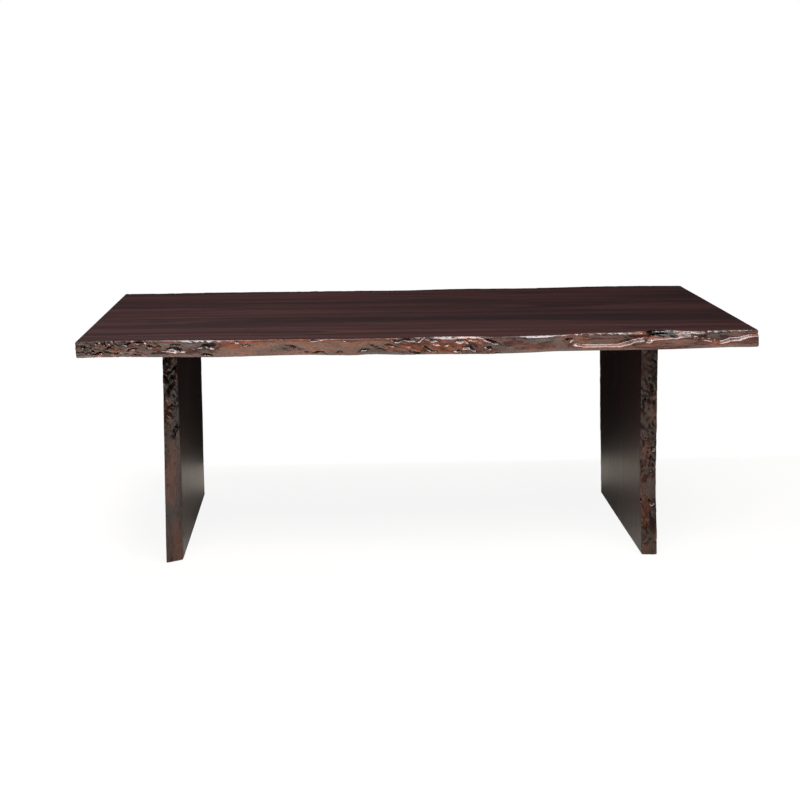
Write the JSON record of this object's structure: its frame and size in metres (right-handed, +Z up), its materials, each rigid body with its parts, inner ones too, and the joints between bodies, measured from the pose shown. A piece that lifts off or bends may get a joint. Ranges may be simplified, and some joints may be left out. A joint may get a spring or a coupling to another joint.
{
  "type": "live edge dining table",
  "caption": "Long dining table with a thick dark-stained solid wood top, natural wavy knotted live edges front and back, and two upright slab legs set in from the sawn ends.",
  "frame": {"origin": "on the floor, under the centre of the table's outline", "axes": "+Z up, +X along the table's length, the front live edge at -Y"},
  "size_m": [2.134, 1.067, 0.762],
  "materials": {
    "stained_wood": "dark espresso stain under a satin clear lacquer",
    "tongue_beech": "planed, unfinished",
    "plate_steel": "black powder coat",
    "zinc_steel": "zinc plated",
    "insert_brass": "turned",
    "pad_felt": "pressed wool felt"
  },
  "bodies": {
    "root": {"left_leg_board_back": "stained_wood", "left_leg_board_back_middle": "stained_wood", "left_leg_board_front": "stained_wood", "left_leg_board_front_middle": "stained_wood", "left_leg_bolts": "zinc_steel", "left_leg_inserts": "insert_brass", "left_leg_pads": "pad_felt", "left_leg_plate": "plate_steel", "left_leg_plate_screws": "zinc_steel", "left_leg_spring_washers": "zinc_steel", "left_leg_tongue_back": "tongue_beech", "left_leg_tongue_front": "tongue_beech", "left_leg_tongue_middle": "tongue_beech", "left_leg_washers": "zinc_steel", "right_leg_board_back": "stained_wood", "right_leg_board_back_middle": "stained_wood", "right_leg_board_front": "stained_wood", "right_leg_board_front_middle": "stained_wood", "right_leg_bolts": "zinc_steel", "right_leg_inserts": "insert_brass", "right_leg_pads": "pad_felt", "right_leg_plate": "plate_steel", "right_leg_plate_screws": "zinc_steel", "right_leg_spring_washers": "zinc_steel", "right_leg_tongue_back": "tongue_beech", "right_leg_tongue_front": "tongue_beech", "right_leg_tongue_middle": "tongue_beech", "right_leg_washers": "zinc_steel", "top_board_back": "stained_wood", "top_board_back_middle": "stained_wood", "top_board_front": "stained_wood", "top_board_front_middle": "stained_wood", "top_board_middle": "stained_wood", "top_tongue_back": "tongue_beech", "top_tongue_back_middle": "tongue_beech", "top_tongue_front": "tongue_beech", "top_tongue_front_middle": "tongue_beech"}
  },
  "joints": []
}
